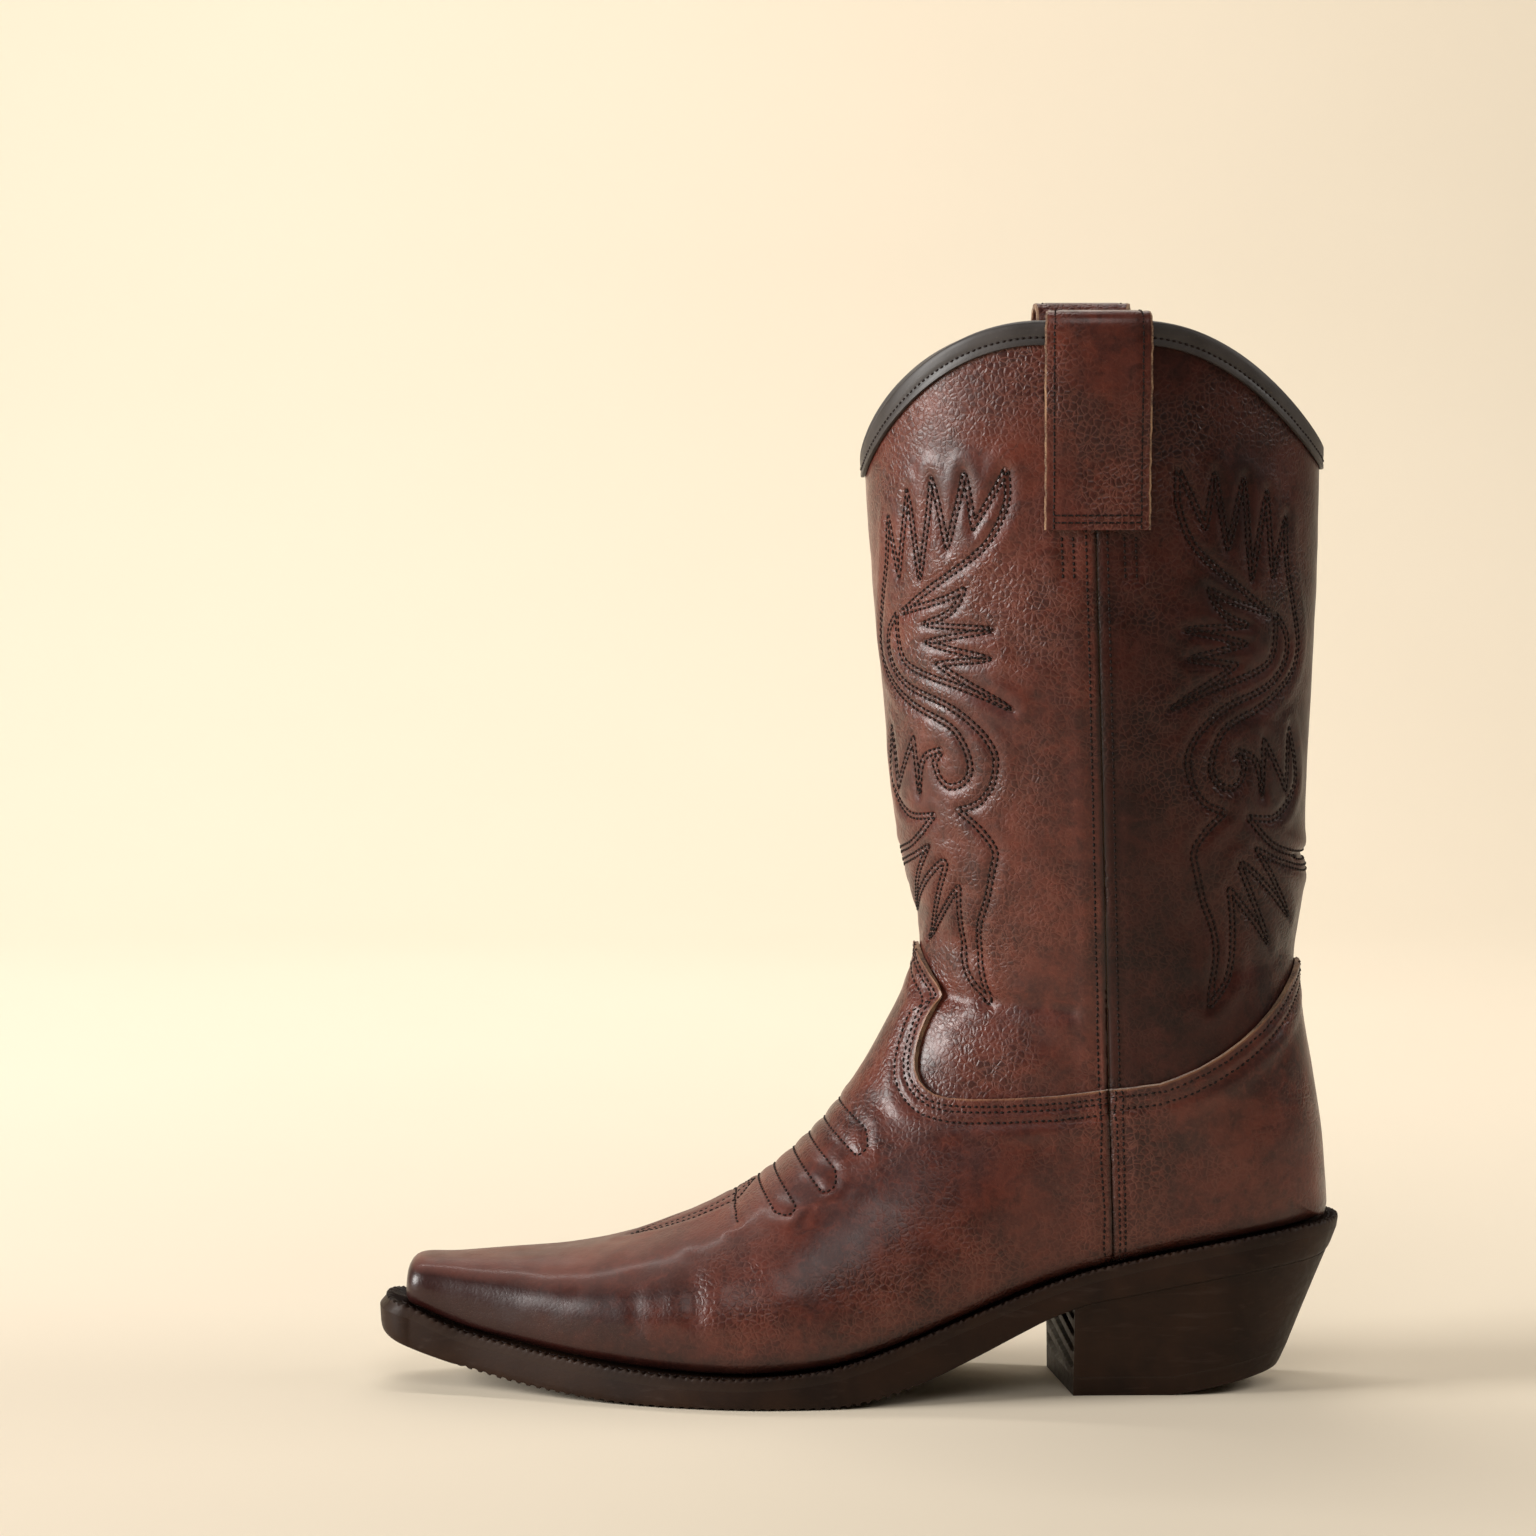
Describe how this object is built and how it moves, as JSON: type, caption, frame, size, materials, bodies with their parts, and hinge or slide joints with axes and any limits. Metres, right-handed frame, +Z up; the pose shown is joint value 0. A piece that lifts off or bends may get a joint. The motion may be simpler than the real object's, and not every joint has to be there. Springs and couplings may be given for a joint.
{
  "type": "cowboy boot",
  "caption": "Western boot with a snip toe, stitched shaft with a scalloped top edge, pull straps, ridged welt and underslung heel.",
  "frame": {"origin": "centre of the boot's bounding box at floor level, under the waist of the sole", "axes": "+Z up the shaft, -X towards the toe, -Y towards the outer side of this left boot"},
  "size_m": [0.3024, 0.125, 0.341],
  "materials": {
    "outer_leather": "dark reddish-brown waxed pull-up leather, satin, with scratches and creases",
    "shaft_leather": "dark reddish-brown waxed leather with fine grain, satin",
    "binding_leather": "smooth near-black leather, semi-gloss",
    "lining_leather": "undyed tan lining leather, matt",
    "seam_tape": "woven cotton tape",
    "fibre_board": "pressed leather fibre board, matt",
    "cork": "granular cork paste, matt",
    "sole_rubber": "dark brown-black moulded rubber, satin with scuffs",
    "steel": "plain steel",
    "thread": "waxed dark brown thread"
  },
  "bodies": {
    "root": {"vamp": "outer_leather", "heel_counter": "outer_leather", "front_shaft_panel": "shaft_leather", "back_shaft_panel": "shaft_leather", "top_binding": "binding_leather", "lateral_pull_strap": "shaft_leather", "medial_pull_strap": "shaft_leather", "lateral_seam_tape": "seam_tape", "medial_seam_tape": "seam_tape", "vamp_lining": "lining_leather", "front_shaft_lining": "lining_leather", "back_shaft_lining": "lining_leather", "toe_puff": "fibre_board", "heel_stiffener": "fibre_board", "insole_board": "fibre_board", "sock_lining": "lining_leather", "shank": "steel", "cork_filler": "cork", "heel_seat_board": "fibre_board", "welt": "sole_rubber", "outsole": "sole_rubber", "heel_block": "sole_rubber", "heel_top_lift": "sole_rubber", "heel_nail_1": "steel", "heel_nail_2": "steel", "heel_nail_3": "steel", "heel_nail_4": "steel", "heel_screw": "steel"}
  },
  "joints": []
}
